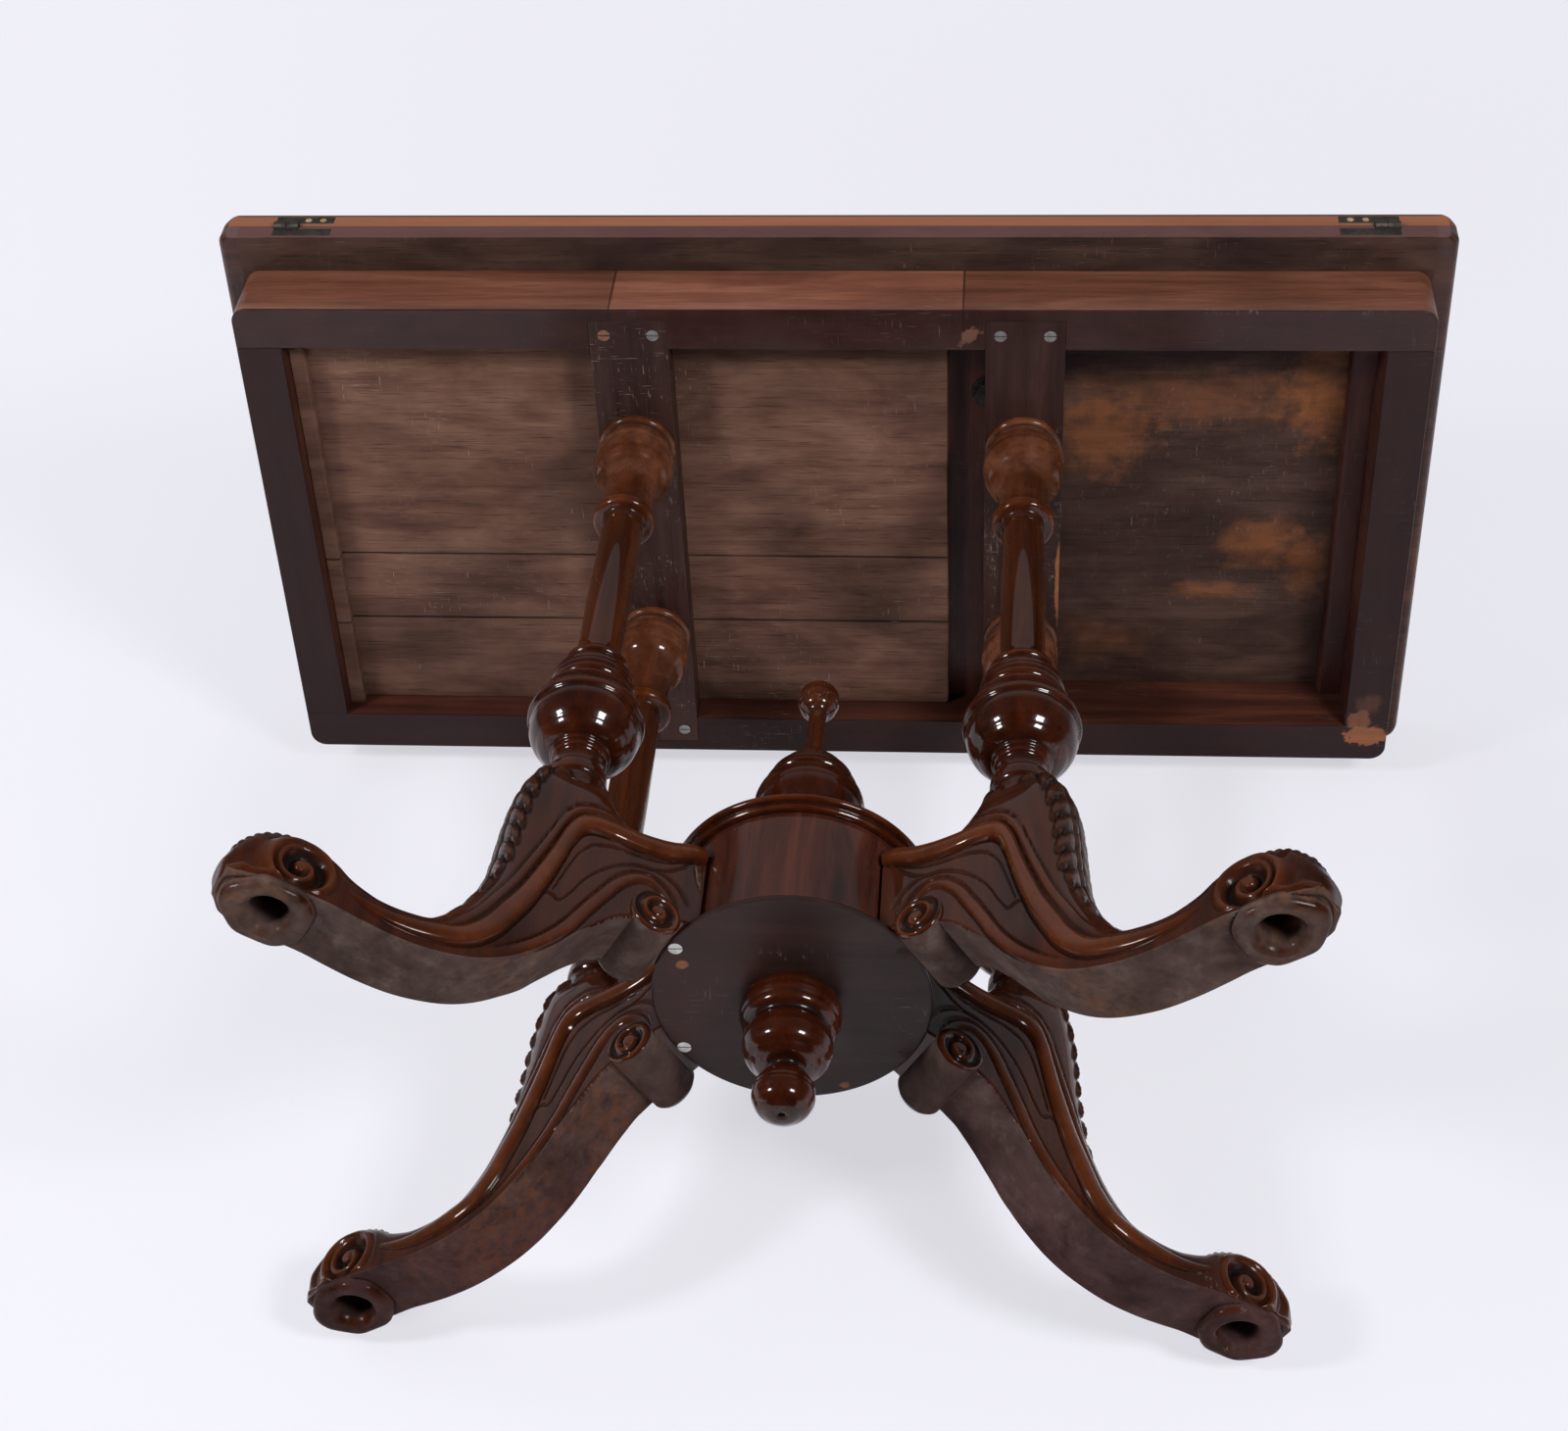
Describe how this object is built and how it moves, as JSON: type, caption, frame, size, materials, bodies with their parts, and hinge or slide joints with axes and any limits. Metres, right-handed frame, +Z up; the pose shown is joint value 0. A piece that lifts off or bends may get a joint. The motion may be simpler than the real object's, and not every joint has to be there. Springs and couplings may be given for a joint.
{
  "type": "fold-over table",
  "caption": "Fold-over card table: hinged leaves swivel on a frame with a card well, carried by turned columns on a drum with carved cabriole legs.",
  "frame": {"origin": "on the floor under the middle of the table, which stands upright on its four feet", "axes": "+X along the table's length, +Y towards the hinged back edge of the leaves, +Z up"},
  "size_m": [0.914, 0.4816, 0.691],
  "materials": {
    "polished_walnut": "dark red-brown walnut, French polished, glossy",
    "leaf_walnut": "figured walnut, polished",
    "frame_walnut": "dark stained walnut, satin",
    "well_wood": "dry unpolished boards",
    "dowel_wood": "plain beech",
    "baize": "green woollen baize",
    "hinge_bronze": "dark aged brass",
    "screw_steel": "worn steel",
    "pivot_iron": "dark iron"
  },
  "bodies": {
    "stand": {"front_left_column": "polished_walnut", "front_left_leg": "polished_walnut", "front_right_column": "polished_walnut", "front_right_leg": "polished_walnut", "back_left_column": "polished_walnut", "back_left_leg": "polished_walnut", "back_right_column": "polished_walnut", "back_right_leg": "polished_walnut", "drum": "polished_walnut", "drum_rim": "polished_walnut", "upper_finial": "polished_walnut", "lower_pendant": "polished_walnut", "base_disc": "polished_walnut", "front_rail": "frame_walnut", "back_rail": "frame_walnut", "left_rail": "frame_walnut", "right_rail": "frame_walnut", "left_bearer": "frame_walnut", "right_bearer": "frame_walnut", "front_well_board": "well_wood", "middle_well_board": "well_wood", "back_well_board": "well_wood", "well_ledger": "well_wood", "pivot_rail": "well_wood", "bearer_screws": "screw_steel", "base_disc_screws": "screw_steel", "leg_dowels": "dowel_wood"},
    "lower_top": {"lower_leaf": "leaf_walnut", "lower_leaf_moulding": "leaf_walnut", "lower_leaf_baize": "baize", "left_hinge_lower_plate": "hinge_bronze", "right_hinge_lower_plate": "hinge_bronze", "left_hinge_pin": "hinge_bronze", "right_hinge_pin": "hinge_bronze", "hinge_screws_lower": "screw_steel", "pivot_plate": "pivot_iron", "pivot_bolt": "pivot_iron", "pivot_washer": "pivot_iron", "pivot_nut": "pivot_iron", "pivot_plate_screws": "pivot_iron"},
    "upper_top": {"upper_leaf": "leaf_walnut", "upper_leaf_moulding": "leaf_walnut", "upper_leaf_baize": "baize", "left_hinge_upper_plate": "hinge_bronze", "right_hinge_upper_plate": "hinge_bronze", "hinge_screws_upper": "screw_steel"}
  },
  "joints": [
    {"name": "top_swivel", "type": "hinge", "parent": "stand", "child": "lower_top", "pos_m": [-0.1195, 0.1195, 0.659], "axis": [0, 0, 1], "range_deg": [-90, 0]},
    {"name": "leaf_fold", "type": "hinge", "parent": "lower_top", "child": "upper_top", "pos_m": [0, 0.2392, 0.6752], "axis": [-1, 0, 0], "range_deg": [0, 180]}
  ]
}
